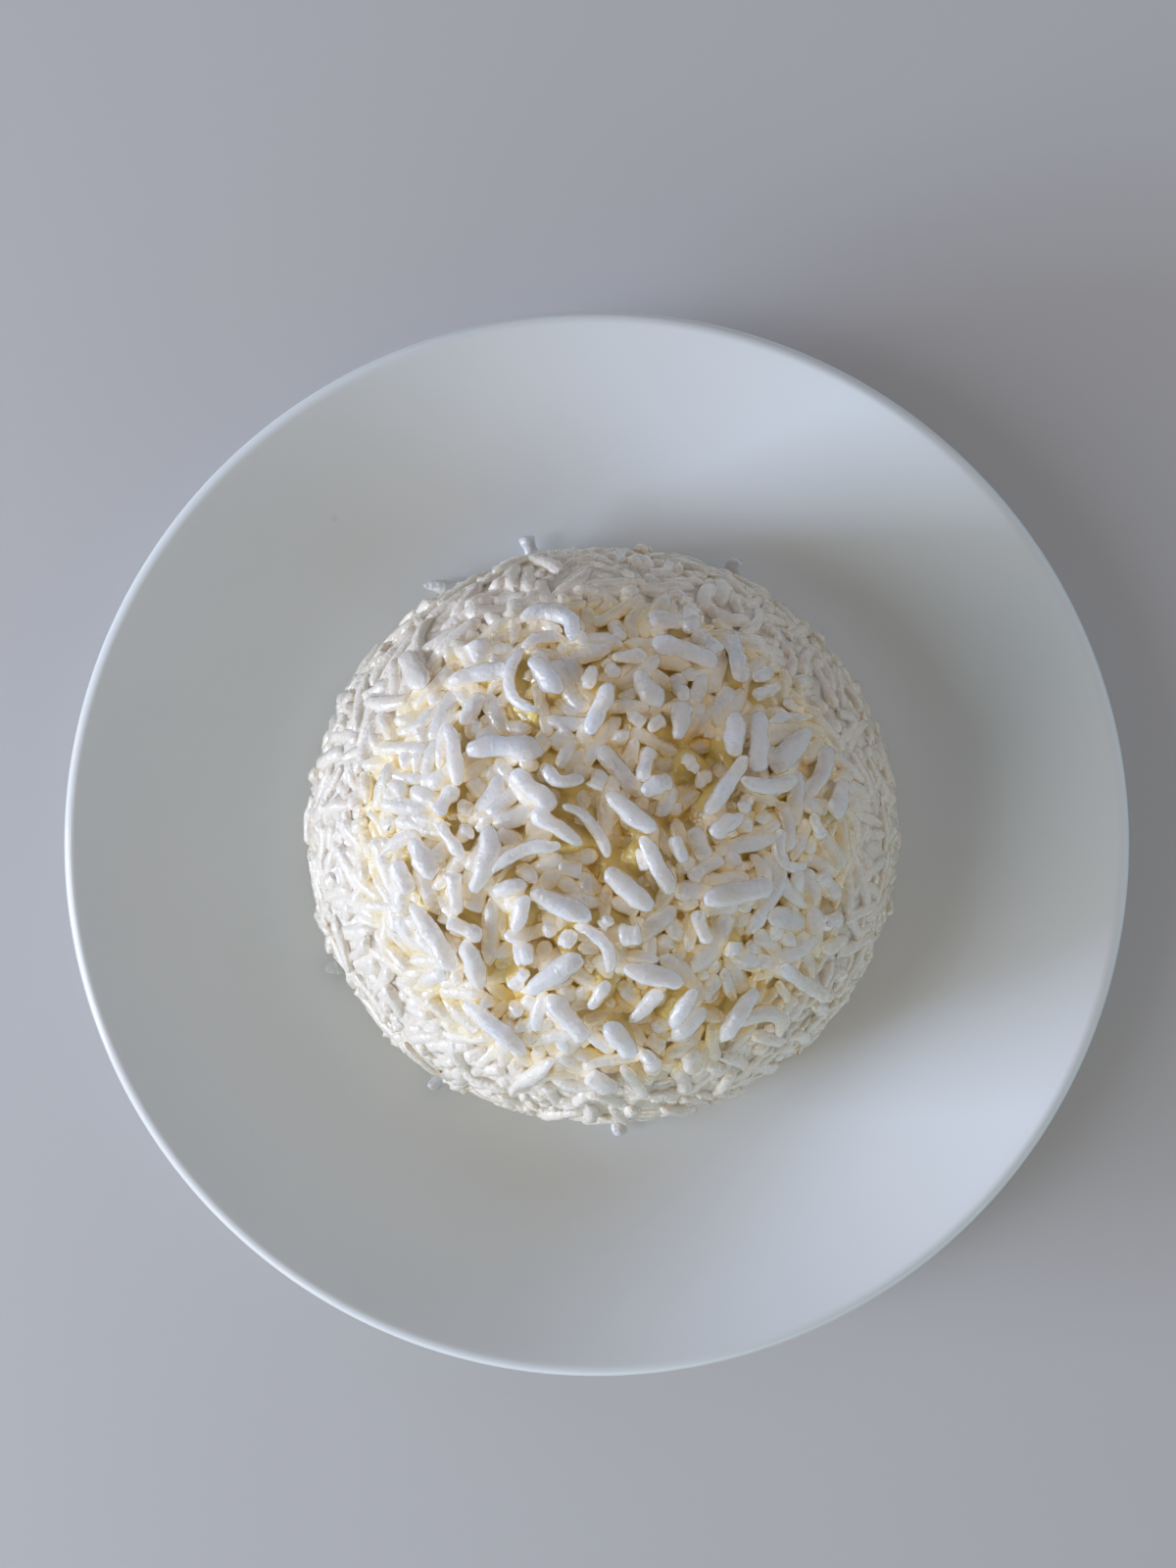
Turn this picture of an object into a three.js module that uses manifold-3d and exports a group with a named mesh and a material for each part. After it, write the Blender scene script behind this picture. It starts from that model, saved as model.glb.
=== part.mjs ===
// A moulded dome of boiled white rice turned out onto a plain white coupe plate.
// Millimetres, +Z up. The origin is the centre of the foot ring's underside, so the plate stands on z = 0.
// The plate is a solid of revolution. The heap is a smooth core with whole grains fused into its surface.
import * as THREE from "three";
import { mergeVertices } from "three/addons/utils/BufferGeometryUtils.js";
import Module from "manifold-3d";

const wasm = await Module();
wasm.setup();

// Plate: driving dimensions.
const plate = {
  radius: 100, // outermost point of the lip
  height: 19, // top of the lip above the table
  wellRadius: 63, // flat floor that the rice stands on
  wellTop: 6, // that floor above the table
  wall: 3.8, // thickness of the floor
  bend: 2.5, // half the length of the bend between floor and wall
  firstSlope: THREE.MathUtils.degToRad(12), // of the wall just past that bend
  lastSlope: THREE.MathUtils.degToRad(26), // of the wall where it meets the lip
  lipRadius: 2, // half the thickness of the rounded edge
  sweep: 19, // curve handle of the underside at the lip
  footSweep: 9, // and at the foot ring
  footOuter: 60,
  footInner: 54.5,
  footChamfer: 0.6,
  segments: 52,
  bendSteps: 2,
  wallSteps: 4,
  lipSteps: 3,
};

// Heap: the inside of the bowl that shaped it, a superellipse of revolution.
const heap = {
  radius: 57, // at the plate
  height: 48, // above the plate's floor
  fullness: 2.35, // 2 is an ellipse, larger is squarer
  offset: new THREE.Vector2(1.1, 1.8), // the dome isn't quite in the plate's centre
  gap: 0.3, // between the heap's underside and the plate
  coreDepth: 1.3, // the core's corners lie this far inside the dome's surface
  coreSegments: 26,
  coreRows: 6,
};

// One boiled long grain.
const grain = {
  length: 10.5,
  width: 3.2, // across corners
  thickness: 2.8,
  lengthSpread: 0.28, // longest and shortest, as a share
  widthSpread: 0.14,
  bend: 0.16, // sideways bow of the most bent grain, as a share of its length
  sides: 4,
  ringPlaces: [-0.27, 0.24], // along the grain, in lengths
  ringSizes: [1, 0.94], // at those places, as a share of the width
  lift: 0.25, // rad, how far a grain's end may point out of the dome
  sink: 1.2, // depth of a grain's middle line below the dome's surface
  sinkSpread: 0.3,
  count: 284,
  tries: 10, // headings that are tried for the one furthest from the neighbours
};

// Loose grains at the dome's foot: bearing in degrees from +X, distance from the dome's centre,
// heading in degrees, pitch in degrees, length as a share of a whole grain.
const strays = [
  { bearing: 104, distance: 57.2, heading: 100, pitch: 28, share: 0.75 },
  { bearing: 122, distance: 57.0, heading: 160, pitch: 8, share: 0.95 },
  { bearing: 238, distance: 57.2, heading: 215, pitch: 10, share: 0.85 },
  { bearing: 274, distance: 57.0, heading: 250, pitch: 14, share: 0.8 },
  { bearing: 208, distance: 56.8, heading: 190, pitch: 12, share: 0.8 },
  { bearing: 64, distance: 56.6, heading: 70, pitch: 34, share: 0.8 },
];

// A repeatable random number from 0 to 1 (mulberry32).
function makeRandom(seed) {
  let state = seed;
  return () => {
    state = (state + 0x6d2b79f5) | 0;
    let t = Math.imul(state ^ (state >>> 15), 1 | state);
    t = (t + Math.imul(t ^ (t >>> 7), 61 | t)) ^ t;
    return ((t ^ (t >>> 14)) >>> 0) / 4294967296;
  };
}

// Manifold solid of a closed geometry, and the way back.
function toSolid(geometry) {
  const bare = geometry.index ? geometry.toNonIndexed() : geometry.clone();
  bare.deleteAttribute("normal");
  bare.deleteAttribute("uv");
  const merged = mergeVertices(bare, 1e-4);
  return new wasm.Manifold(
    new wasm.Mesh({
      numProp: 3,
      vertProperties: new Float32Array(merged.attributes.position.array),
      triVerts: new Uint32Array(merged.index.array),
    }),
  );
}

function toGeometry(solid) {
  const mesh = solid.getMesh();
  const geometry = new THREE.BufferGeometry();
  geometry.setAttribute("position", new THREE.BufferAttribute(mesh.vertProperties, 3));
  geometry.setIndex(new THREE.BufferAttribute(mesh.triVerts, 1));
  return geometry;
}

// Where the line from a along u crosses the line through b along v.
function crossing(a, u, b, v) {
  const apart = b.clone().sub(a);
  return a.clone().addScaledVector(u, apart.cross(v) / u.cross(v));
}

// The plate's section, from the middle of the floor out over the lip and back under to the middle.
function platePoints() {
  const along = (slope) => new THREE.Vector2(Math.cos(slope), Math.sin(slope));
  const lip = new THREE.Vector2(plate.radius - plate.lipRadius, plate.height - plate.lipRadius);
  const atLip = along(plate.lastSlope);
  const across = new THREE.Vector2(-atLip.y, atLip.x);
  const inner = lip.clone().addScaledVector(across, plate.lipRadius);
  const outer = lip.clone().addScaledVector(across, -plate.lipRadius);
  const underside = plate.wellTop - plate.wall;
  const footTop = plate.footOuter + plate.footChamfer;

  const floorEdge = new THREE.Vector2(plate.wellRadius, plate.wellTop);
  const corner = new THREE.Vector2(plate.wellRadius + plate.bend, plate.wellTop);
  const wallStart = corner.clone().addScaledVector(along(plate.firstSlope), plate.bend);
  const turn = crossing(wallStart, along(plate.firstSlope), inner, atLip);
  const bend = new THREE.QuadraticBezierCurve(floorEdge, corner, wallStart).getPoints(plate.bendSteps);
  const wall = new THREE.QuadraticBezierCurve(wallStart, turn, inner).getPoints(plate.wallSteps);
  const lipArc = []; // from the lip's top over its outermost point
  for (let i = 0; i <= plate.lipSteps; i++) {
    const angle = (Math.PI / 2) * (1 - i / 2);
    lipArc.push(
      new THREE.Vector2(lip.x + plate.lipRadius * Math.cos(angle), lip.y + plate.lipRadius * Math.sin(angle)),
    );
  }
  const wallUnder = new THREE.CubicBezierCurve(
    outer,
    outer.clone().addScaledVector(atLip, -plate.sweep),
    new THREE.Vector2(footTop + plate.footSweep, underside),
    new THREE.Vector2(footTop, underside),
  ).getPoints(plate.wallSteps + 1);
  const foot = [
    new THREE.Vector2(plate.footOuter, plate.footChamfer),
    new THREE.Vector2(plate.footOuter - plate.footChamfer, 0),
    new THREE.Vector2(plate.footInner + plate.footChamfer, 0),
    new THREE.Vector2(plate.footInner, plate.footChamfer),
    new THREE.Vector2(plate.footInner - plate.footChamfer, underside),
  ];
  return [
    new THREE.Vector2(0, plate.wellTop),
    ...bend,
    ...wall.slice(1),
    ...lipArc,
    ...wallUnder,
    ...foot,
    new THREE.Vector2(0, underside),
  ];
}

function makePlate() {
  const profile = platePoints().reverse(); // so that the faces point out
  const glaze = new THREE.MeshStandardMaterial({ color: 0xd9e2de, roughness: 0.22, metalness: 0 });
  const mesh = new THREE.Mesh(new THREE.LatheGeometry(profile, plate.segments), glaze);
  mesh.name = "plate";
  mesh.rotation.x = Math.PI / 2;
  return mesh;
}

// Point and outward normal of the dome, moved inwards by depth, at angle climb (0 at the plate, pi/2 at the top).
function domePoint(climb, bearing, depth) {
  const power = 2 / heap.fullness;
  const across = Math.pow(Math.max(Math.cos(climb), 0), power);
  const up = Math.pow(Math.sin(climb), power);
  const normal = new THREE.Vector2(
    Math.pow(across, heap.fullness - 1) / heap.radius,
    Math.pow(up, heap.fullness - 1) / heap.height,
  ).normalize();
  const radial = heap.radius * across - depth * normal.x;
  const height = heap.height * up - depth * normal.y;
  return {
    radial,
    height,
    place: new THREE.Vector3(radial * Math.cos(bearing), radial * Math.sin(bearing), height),
    normal: new THREE.Vector3(normal.x * Math.cos(bearing), normal.x * Math.sin(bearing), normal.y),
  };
}

// Climb angles that share the dome's surface into equal areas: entry i is at share i / (n - 1) of the whole.
function climbByArea(steps) {
  const table = [0];
  for (let i = 1; i <= steps; i++) {
    const a = domePoint((Math.PI / 2) * ((i - 1) / steps), 0, 0);
    const b = domePoint((Math.PI / 2) * (i / steps), 0, 0);
    table.push(table[i - 1] + Math.hypot(b.radial - a.radial, b.height - a.height) * (a.radial + b.radial));
  }
  return (share) => {
    const wanted = share * table[steps];
    const next = table.findIndex((area) => area >= wanted);
    const i = Math.max(next, 1);
    return (Math.PI / 2) * ((i - 1 + (wanted - table[i - 1]) / (table[i] - table[i - 1])) / steps);
  };
}

function coreSolid() {
  const profile = [new THREE.Vector2(0, 0)];
  for (let i = 0; i < heap.coreRows; i++) {
    const { radial, height } = domePoint((Math.PI / 2) * (i / heap.coreRows), 0, heap.coreDepth);
    profile.push(new THREE.Vector2(radial, Math.max(height, 0)));
  }
  profile.push(new THREE.Vector2(0, heap.height - heap.coreDepth));
  return toSolid(new THREE.LatheGeometry(profile, heap.coreSegments).rotateX(Math.PI / 2));
}

// A grain along +X: rings of an oval section on a bowed middle line, closed by a point at each end.
function grainSolid({ length, width, thickness, bow, twist }, matrix) {
  const middle = (t) => bow * length * (0.25 - t * t) * 4;
  const points = [new THREE.Vector3(-length / 2, middle(-0.5), 0)];
  grain.ringPlaces.forEach((t, ring) => {
    const size = grain.ringSizes[ring] / 2;
    for (let i = 0; i < grain.sides; i++) {
      const turn = twist + (2 * Math.PI * i) / grain.sides;
      points.push(
        new THREE.Vector3(
          t * length,
          middle(t) + size * width * Math.cos(turn),
          size * thickness * Math.sin(turn),
        ),
      );
    }
  });
  points.push(new THREE.Vector3(length / 2, middle(0.5), 0));
  const rings = grain.ringPlaces.length;
  const last = points.length - 1;
  const faces = [];
  for (let i = 0; i < grain.sides; i++) {
    const j = (i + 1) % grain.sides;
    faces.push(0, 1 + j, 1 + i);
    for (let ring = 0; ring < rings - 1; ring++) {
      const a = 1 + ring * grain.sides;
      const b = a + grain.sides;
      faces.push(a + i, a + j, b + j, a + i, b + j, b + i);
    }
    const end = 1 + (rings - 1) * grain.sides;
    faces.push(last, end + i, end + j);
  }
  const geometry = new THREE.BufferGeometry().setFromPoints(points);
  geometry.setIndex(faces);
  geometry.applyMatrix4(matrix);
  return toSolid(geometry);
}

// Matrix that lays a grain at place, its flat side towards normal, turned by heading and with one end lifted.
function layGrain(place, normal, heading, lift) {
  const side = new THREE.Vector3(-normal.y, normal.x, 0);
  if (side.lengthSq() < 1e-9) side.set(1, 0, 0);
  side.normalize();
  const along = side.applyAxisAngle(normal, heading);
  const across = new THREE.Vector3().crossVectors(normal, along);
  const frame = new THREE.Matrix4().makeBasis(along, across, normal).setPosition(place);
  return frame.multiply(new THREE.Matrix4().makeRotationY(lift));
}

// Points along the straight line between a grain's ends, which stand for it when gaps are measured.
function spine(length, matrix) {
  return [-0.4, -0.2, 0, 0.2, 0.4].map((t) => new THREE.Vector3(t * length, 0, 0).applyMatrix4(matrix));
}

function nearest(points, others) {
  return Math.min(...others.flatMap((other) => points.map((point) => point.distanceTo(other))));
}

// Places follow a golden-angle spiral, even in area. Of some headings, each grain takes the one that
// leaves it furthest from the grains already laid.
function surfaceGrains() {
  const random = makeRandom(11);
  const spread = (share) => 1 + share * (2 * random() - 1);
  const climbAt = climbByArea(200);
  const goldenAngle = Math.PI * (3 - Math.sqrt(5));
  const laid = [];
  const made = [];
  for (let i = 0; i < grain.count; i++) {
    const depth = grain.sink + grain.sinkSpread * (2 * random() - 1);
    const { place, normal } = domePoint(climbAt((i + 0.5) / grain.count), i * goldenAngle, depth);
    place.z = Math.max(place.z, grain.thickness / 2);
    const size = {
      length: grain.length * spread(grain.lengthSpread),
      width: grain.width * spread(grain.widthSpread),
      thickness: grain.thickness,
      bow: grain.bend * (2 * random() - 1),
      twist: 2 * Math.PI * random(),
    };
    const lift = grain.lift * (2 * random() - 1);
    const near = laid.filter((one) => one[2].distanceTo(place) < 1.3 * grain.length).flat();
    const options = Array.from({ length: grain.tries }, () => {
      const matrix = layGrain(place, normal, Math.PI * random(), lift);
      const line = spine(size.length, matrix);
      return { matrix, line, clear: near.length ? nearest(line, near) : grain.length };
    });
    const best = options.reduce((a, b) => (b.clear > a.clear ? b : a));
    laid.push(best.line);
    made.push(grainSolid(size, best.matrix));
  }
  return made;
}

function strayGrains() {
  const { degToRad } = THREE.MathUtils;
  return strays.map(({ bearing, distance, heading, pitch, share }) => {
    const length = grain.length * share;
    const pitched = degToRad(pitch);
    const place = new THREE.Vector3(
      distance * Math.cos(degToRad(bearing)),
      distance * Math.sin(degToRad(bearing)),
      grain.thickness / 2 + 0.5 * length * Math.sin(pitched) * 0.9,
    );
    const size = { length, width: grain.width, thickness: grain.thickness, bow: 0.04, twist: 0.3 };
    const matrix = new THREE.Matrix4()
      .makeTranslation(place)
      .multiply(new THREE.Matrix4().makeRotationZ(degToRad(heading)))
      .multiply(new THREE.Matrix4().makeRotationY(-pitched));
    return grainSolid(size, matrix);
  });
}

// Core and grains as one solid, cut flat where it stands on the plate, its sealed gaps filled.
function makeHeap() {
  const joined = [...surfaceGrains(), ...strayGrains()].reduce((sum, one) => sum.add(one), coreSolid());
  const reach = 2 * plate.radius;
  const above = toSolid(new THREE.BoxGeometry(reach, reach, reach).translate(0, 0, reach / 2));
  const bodies = joined.intersect(above).decompose();
  const heapSolid = bodies.reduce((best, one) => (one.volume() > best.volume() ? one : best));
  const rice = new THREE.MeshStandardMaterial({ color: 0xefe9da, roughness: 0.42, metalness: 0 });
  const mesh = new THREE.Mesh(toGeometry(heapSolid), rice);
  mesh.name = "rice_heap";
  mesh.position.set(heap.offset.x, heap.offset.y, plate.wellTop + heap.gap);
  return mesh;
}

const group = new THREE.Group();
group.add(makePlate(), makeHeap());
export default group;
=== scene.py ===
# A plain white plate with a moulded dome of boiled long-grain rice, seen from straight above.
# The plate is a profile turned round its axis. The rice is over a thousand grains, packed by pushing them
# apart inside the shape of the bowl that moulded them, half sunk in a bed of stuck rice.
import math

import bpy
import numpy as np
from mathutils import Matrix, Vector


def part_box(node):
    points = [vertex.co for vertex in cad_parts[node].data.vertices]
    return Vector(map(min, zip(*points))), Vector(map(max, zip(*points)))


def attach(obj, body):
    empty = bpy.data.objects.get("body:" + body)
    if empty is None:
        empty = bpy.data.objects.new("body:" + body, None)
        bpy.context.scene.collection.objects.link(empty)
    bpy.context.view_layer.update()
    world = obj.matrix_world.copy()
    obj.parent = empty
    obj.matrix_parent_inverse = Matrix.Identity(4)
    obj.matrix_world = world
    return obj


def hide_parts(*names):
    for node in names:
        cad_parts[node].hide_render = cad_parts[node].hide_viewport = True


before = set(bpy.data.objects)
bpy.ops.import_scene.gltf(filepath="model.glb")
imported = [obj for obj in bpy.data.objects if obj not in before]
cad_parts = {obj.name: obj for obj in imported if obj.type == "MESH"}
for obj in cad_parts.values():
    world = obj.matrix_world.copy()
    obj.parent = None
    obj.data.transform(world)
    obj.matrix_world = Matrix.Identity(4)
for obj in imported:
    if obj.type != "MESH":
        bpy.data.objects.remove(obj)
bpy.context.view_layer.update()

mm = 0.001  # everything below is written in millimetres and scaled when a mesh is made


shot = {
    "place": (-1.65, 11.2, 238.7),  # straight above, a little off the plate's centre
    "lens": 27.05,  # on a 36 mm sensor along the tall side
    "sensor": 36.0,
    "wide": 1200,  # the photograph's frame, in pixels
    "tall": 1600,
}


def makeCamera():
    data = bpy.data.cameras.new("shotFromAbove")
    data.lens = shot["lens"]
    data.sensor_width = shot["sensor"]
    data.clip_start = 0.01
    data.clip_end = 10
    camera = bpy.data.objects.new("shotFromAbove", data)
    camera.location = [v * mm for v in shot["place"]]
    bpy.context.scene.collection.objects.link(camera)
    bpy.context.scene.camera = camera


def meshPiece(name, points, faces, material, smooth=True):
    # points in mm, faces as rows of 3 or 4 indices (a list of such arrays)
    mesh = bpy.data.meshes.new(name)
    loops = np.concatenate([f.ravel() for f in faces])
    sizes = np.concatenate([np.full(len(f), f.shape[1]) for f in faces])
    mesh.vertices.add(len(points))
    mesh.vertices.foreach_set("co", (points * mm).astype(np.float32).ravel())
    mesh.loops.add(len(loops))
    mesh.loops.foreach_set("vertex_index", loops.astype(np.int32))
    mesh.polygons.add(len(sizes))
    mesh.polygons.foreach_set("loop_start", (np.cumsum(sizes) - sizes).astype(np.int32))
    mesh.polygons.foreach_set("use_smooth", np.full(len(sizes), smooth))
    mesh.update(calc_edges=True)
    mesh.validate()
    piece = bpy.data.objects.new(name, mesh)
    piece.data.materials.append(material)
    bpy.context.scene.collection.objects.link(piece)
    return piece


def pointValue(piece, name, values):
    layer = piece.data.attributes.new(name, "FLOAT", "POINT")
    layer.data.foreach_set("value", values.astype(np.float32))


class nodeBench:  # short calls for laying out a material's nodes
    def __init__(self, name):
        self.material = bpy.data.materials.new(name)
        self.material.use_nodes = True
        self.tree = self.material.node_tree
        self.shader = self.tree.nodes["Principled BSDF"]

    def add(self, kind, inputs=(), **settings):
        node = self.tree.nodes.new(kind)
        for key, value in settings.items():
            setattr(node, key, value)
        for key, value in dict(inputs).items():
            self.plug(value, node.inputs[key])
        return node

    def plug(self, value, socket):
        if isinstance(value, bpy.types.NodeSocket):
            self.tree.links.new(value, socket)
        else:
            socket.default_value = value

    def set(self, **values):
        for key, value in values.items():
            self.plug(value, self.shader.inputs[key])

    def maths(self, operation, a, b):
        return self.add("ShaderNodeMath", {0: a, 1: b}, operation=operation).outputs[0]

    def between(self, value, low, high, lowOut=0.0, highOut=1.0):
        node = self.add(
            "ShaderNodeMapRange",
            {"Value": value, "From Min": low, "From Max": high, "To Min": lowOut, "To Max": highOut},
        )
        return node.outputs["Result"]

    def mix(self, share, a, b):
        # colours are sockets 6 and 7 of this node, and socket 2 of what it gives
        a, b = ((*c, 1) if isinstance(c, tuple) else c for c in (a, b))
        return self.add("ShaderNodeMix", {0: share, 6: a, 7: b}, data_type="RGBA").outputs[2]

    def noise(self, place, scale, detail, rough=0.5):
        node = self.add(
            "ShaderNodeTexNoise",
            {"Vector": place, "Scale": scale, "Detail": detail, "Roughness": rough},
        )
        return node.outputs["Fac"]

    def value(self, name):
        return self.add("ShaderNodeAttribute", attribute_name=name).outputs["Fac"]

    def place(self):
        return self.add("ShaderNodeTexCoord").outputs["Object"]

    def bump(self, height, distance, strength):
        inputs = {"Height": height, "Distance": distance, "Strength": strength}
        return self.add("ShaderNodeBump", inputs).outputs["Normal"]


plate = {
    "radius": 100.0,
    "height": 19.0,
    "wellRadius": 63.0,
    "wellTop": 6.0,
    "wall": 3.8,
    "bend": 2.5,
    "firstSlope": math.radians(12),
    "lastSlope": math.radians(26),
    "lipRadius": 2.0,
    "sweep": 19.0,
    "footSweep": 9.0,
    "footOuter": 60.0,
    "footInner": 54.5,
    "footRound": 0.6,
    "footCove": 1.0,  # radius of the corner inside the foot ring
    "baseInset": 4.0,  # from the ring to the flat underside's first point
    "turns": 288,  # steps round
    "steps": {"floor": 22, "bend": 8, "rim": 24, "lip": 16, "below": 20, "foot": 5, "base": 14},
    "glaze": (0.80, 0.83, 0.81),
    "dull": 0.975,  # of that colour, where it is cloudy
    "cloud": (18.0, 2.0),  # noises: scale per metre and detail
    "cloudEdge": (0.35, 0.65),
    "ripple": (55.0, 2.0),
    "rippleHeight": 0.00006,  # metres
    "rippleStrength": 0.6,
    "roughness": 0.13,
    "ior": 1.52,
    "coat": 0.35,
    "coatRoughness": 0.04,
    "bisque": (0.62, 0.60, 0.55),  # the bare clay of the foot ring
    "bisqueEdge": (0.25, 0.5),  # heights between which the glaze begins
    "bisqueRoughness": 0.75,
    "speck": (0.40, 0.42, 0.41),
    "speckApart": 0.022,  # metres between the places where a speck may be
    "speckWidths": (0.015, 0.045),  # in shares of that
    "speckEdge": (0.4, 1.2),  # in shares of the speck's width, from full to none
    "speckLuck": (0.45, 0.9),  # below the first of these random numbers there is none
    "speckMost": 0.45,  # and above the second it has this share of its colour
}


def bezier(ends, steps):
    # A Bezier curve: sum over k of C(n, k) (1 - t)^(n - k) t^k times point k, with t from 0 to 1.
    t = np.linspace(0, 1, steps + 1)[:, None]
    n = len(ends) - 1
    parts = [math.comb(n, k) * (1 - t) ** (n - k) * t**k * np.array(p, float) for k, p in enumerate(ends)]
    return sum(parts)


def arc(centre, radius, start, end, steps):
    # Circle: centre + radius (cos a, sin a), a going evenly from start to end.
    a = np.linspace(start, end, steps + 1)
    return np.array(centre) + radius * np.stack((np.cos(a), np.sin(a)), 1)


def flatRun(start, end, height, count):
    # Points spread evenly at one height.
    return np.stack((np.linspace(start, end, count), np.full(count, height)), 1)


def plateSection():
    # Half the plate's section, from the middle of the floor out over the lip and back below: straight runs,
    # arcs, and Bezier curves, the rim's with its middle point where the lines of its two slopes cross.
    p, steps = plate, plate["steps"]
    along = lambda a: np.array((math.cos(a), math.sin(a)))
    lip = np.array((p["radius"] - p["lipRadius"], p["height"] - p["lipRadius"]))
    atLip = along(p["lastSlope"])
    across = np.array((-atLip[1], atLip[0])) * p["lipRadius"]
    under = p["wellTop"] - p["wall"]
    footTop = p["footOuter"] + p["footRound"]
    edge = np.array((p["wellRadius"], p["wellTop"]))
    corner = edge + (p["bend"], 0)
    start = corner + p["bend"] * along(p["firstSlope"])
    u, v = along(p["firstSlope"]), atLip
    gap = lip + across - start
    turn = start + u * ((gap[0] * v[1] - gap[1] * v[0]) / (u[0] * v[1] - u[1] * v[0]))
    quarter = math.pi / 2
    r = p["footRound"]
    inFoot, cove = p["footInner"], p["footCove"]
    lipEnd, footStart = lip - across, (footTop, under)
    below = (lipEnd, lipEnd - p["sweep"] * atLip, (footTop + p["footSweep"], under), footStart)
    runs = [
        flatRun(0, p["wellRadius"], p["wellTop"], steps["floor"])[:-1],
        bezier((edge, corner, start), steps["bend"])[:-1],
        bezier((start, turn, lip + across), steps["rim"])[:-1],
        arc(lip, p["lipRadius"], quarter + p["lastSlope"], p["lastSlope"] - quarter, steps["lip"])[:-1],
        bezier(below, steps["below"]),
        arc((p["footOuter"] - r, r), r, 0, -quarter, steps["foot"]),
        arc((inFoot + r, r), r, -quarter, -2 * quarter, steps["foot"]),
        arc((inFoot - cove, under - cove), cove, 0, quarter, steps["foot"]),
        flatRun(inFoot - p["baseInset"], 0, under, steps["base"]),
    ]
    return np.concatenate(runs)


def turned(section, turns):
    # Surface of revolution: (r cos a, r sin a, z), its two ends closed by one point each on the axis.
    inner = section[1:-1]
    a = np.arange(turns) * 2 * math.pi / turns
    ring = np.stack((np.cos(a), np.sin(a)), 1)
    body = np.concatenate(
        (inner[:, None, :1] * ring[None], np.repeat(inner[:, None, 1:], turns, 1)), 2
    ).reshape(-1, 3)
    top, bottom = (0, 0, section[0, 1]), (0, 0, section[-1, 1])
    points = np.concatenate((body, [top, bottom]))
    row = np.arange(len(inner) - 1)[:, None] * turns
    i, j = np.arange(turns)[None], (np.arange(turns)[None] + 1) % turns
    quads = np.stack((row + i, row + turns + i, row + turns + j, row + j), -1).reshape(-1, 4)
    last = (len(inner) - 1) * turns
    n = len(body)
    caps = np.concatenate((
        np.stack((np.full(turns, n), i[0], j[0]), 1),
        np.stack((np.full(turns, n + 1), last + j[0], last + i[0]), 1),
    ))
    return points, [quads, caps]


def glazeMaterial():
    # Glossy white glaze with a cool cast, a few faint specks in it, and bare clay under the foot ring.
    p = plate
    bench = nodeBench("whiteGlaze")
    place = bench.place()
    dull = tuple(c * p["dull"] for c in p["glaze"])
    tone = bench.mix(bench.between(bench.noise(place, *p["cloud"]), *p["cloudEdge"]), dull, p["glaze"])
    grid = {"Vector": place, "Scale": 1 / p["speckApart"], "Randomness": 1.0}
    cells = bench.add("ShaderNodeTexVoronoi", grid, feature="F1")
    luck = bench.add("ShaderNodeSeparateColor", {"Color": cells.outputs["Color"]}).outputs
    width = bench.between(luck[1], 0.0, 1.0, *p["speckWidths"])
    away = bench.maths("DIVIDE", cells.outputs["Distance"], width)
    dot = bench.between(away, *p["speckEdge"], 1.0, 0.0)
    chosen = bench.between(luck[0], *p["speckLuck"], 0.0, p["speckMost"])
    glazed = bench.mix(bench.maths("MULTIPLY", dot, chosen), tone, p["speck"])
    height = bench.add("ShaderNodeSeparateXYZ", {"Vector": place}).outputs["Z"]
    bare = bench.between(height, *(edge * mm for edge in p["bisqueEdge"]), 1.0, 0.0)
    bench.set(**{
        "Base Color": bench.mix(bare, glazed, p["bisque"]),
        "Roughness": bench.between(bare, 0.0, 1.0, p["roughness"], p["bisqueRoughness"]),
        "IOR": p["ior"],
        "Coat Weight": bench.between(bare, 0.0, 1.0, p["coat"], 0.0),
        "Coat Roughness": p["coatRoughness"],
        "Normal": bench.bump(bench.noise(place, *p["ripple"]), p["rippleHeight"], p["rippleStrength"]),
    })
    return bench.material


def makePlate():
    points, faces = turned(plateSection(), plate["turns"])
    piece = meshPiece("plateGlazed", points, faces, glazeMaterial())
    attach(piece, "root")
    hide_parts("plate")
    print("plate:", len(points), "points")


dome = {
    "middle": (1.1, 1.8),  # on the plate
    "floor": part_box("rice_heap")[0].z / mm,
    "radius": 56.3,
    "height": 48.0,
    "fullness": 2.35,  # 2 would be an ellipse
    "narrow": 0.975,  # front to back, against side to side
    "shell": 5.6,  # no grain lies deeper than this
    # the sides, which the bowl pressed, and the foot come in as the upward part of its face's direction
    # goes from the first number on by the second
    "side": (0.87, -0.3),
    "foot": (0.6, -0.35),
    "top": (22.0, 10.0),  # and over these heights the top comes in, where grains lie loosely
    "dents": (  # where grains came away with the bowl: right, up, depth, spread
        (14.5, 14.0, 2.6, 4.2),
        (2.0, -2.5, 2.8, 3.6),
        (-15.0, -21.0, 2.2, 3.2),
        (21.5, -27.5, 1.6, 3.6),
        (5.0, -28.0, 1.8, 3.2),
        (-12.5, 23.0, 1.3, 3.0),
        (-25.0, 6.0, 1.2, 3.4),
    ),
    "waves": 0.45,  # height of the top's unevenness
    "waveRates": ((0.52, 0.31, 1.0), (-0.22, 0.57, 2.2)),  # per mm right and up, and phase
    "dented": (14.0, 18.0),  # over these heights the dents and the waves come in
}

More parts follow.
